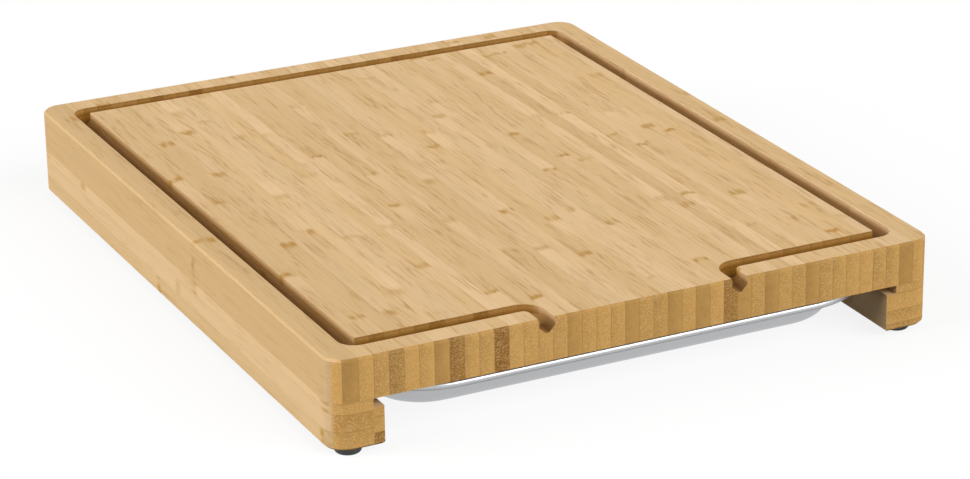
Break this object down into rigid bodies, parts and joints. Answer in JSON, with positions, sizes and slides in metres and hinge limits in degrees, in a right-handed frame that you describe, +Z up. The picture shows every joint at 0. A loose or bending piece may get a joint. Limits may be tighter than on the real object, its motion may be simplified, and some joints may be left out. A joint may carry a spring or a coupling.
{
  "type": "cutting board with drawer tray",
  "caption": "Bamboo cutting board on side rails, with a juice groove that runs out through front spouts over a steel drawer tray that slides out from under it.",
  "frame": {"origin": "on the surface that the feet stand on, under the middle of the board", "axes": "+X to the right across the board, -Y to the front, where the spouts are and the tray comes out, +Z up"},
  "size_m": [0.3, 0.36, 0.045],
  "materials": {
    "bamboo": "oiled, satin",
    "tray_steel": "pressed stainless sheet, satin, with a brighter rim",
    "screw_steel": "plain",
    "foot_rubber": "matt"
  },
  "bodies": {
    "board": {"board_strip_01": "bamboo", "board_strip_02": "bamboo", "board_strip_03": "bamboo", "board_strip_04": "bamboo", "board_strip_05": "bamboo", "board_strip_06": "bamboo", "board_strip_07": "bamboo", "board_strip_08": "bamboo", "board_strip_09": "bamboo", "board_strip_10": "bamboo", "board_strip_11": "bamboo", "board_strip_12": "bamboo", "board_strip_13": "bamboo", "board_strip_14": "bamboo", "board_strip_15": "bamboo", "board_strip_16": "bamboo", "board_strip_17": "bamboo", "board_strip_18": "bamboo", "board_strip_19": "bamboo", "board_strip_20": "bamboo", "board_strip_21": "bamboo", "board_strip_22": "bamboo", "board_strip_23": "bamboo", "board_strip_24": "bamboo", "board_strip_25": "bamboo", "board_strip_26": "bamboo", "board_strip_27": "bamboo", "board_strip_28": "bamboo", "board_strip_29": "bamboo", "board_strip_30": "bamboo", "board_strip_31": "bamboo", "board_strip_32": "bamboo", "board_strip_33": "bamboo", "board_strip_34": "bamboo", "board_strip_35": "bamboo", "board_strip_36": "bamboo", "board_strip_37": "bamboo", "board_strip_38": "bamboo", "board_strip_39": "bamboo", "board_strip_40": "bamboo", "board_strip_41": "bamboo", "board_strip_42": "bamboo", "board_strip_43": "bamboo", "foot_screws": "screw_steel", "left_front_foot": "foot_rubber", "left_rail_edge_lower": "bamboo", "left_rail_edge_middle": "bamboo", "left_rail_edge_upper": "bamboo", "left_rail_lower_layer": "bamboo", "left_rail_spacer": "bamboo", "left_rail_upper_layer": "bamboo", "left_rear_foot": "foot_rubber", "rear_stop_bar": "bamboo", "right_front_foot": "foot_rubber", "right_rail_lower_layer": "bamboo", "right_rail_middle_layer": "bamboo", "right_rail_spacer": "bamboo", "right_rail_upper_layer": "bamboo", "right_rear_foot": "foot_rubber"},
    "tray": {"tray": "tray_steel"}
  },
  "joints": [
    {"name": "tray_slide", "type": "slide", "parent": "board", "child": "tray", "axis": [0, -1, 0], "range_m": [0, 0.26]}
  ]
}
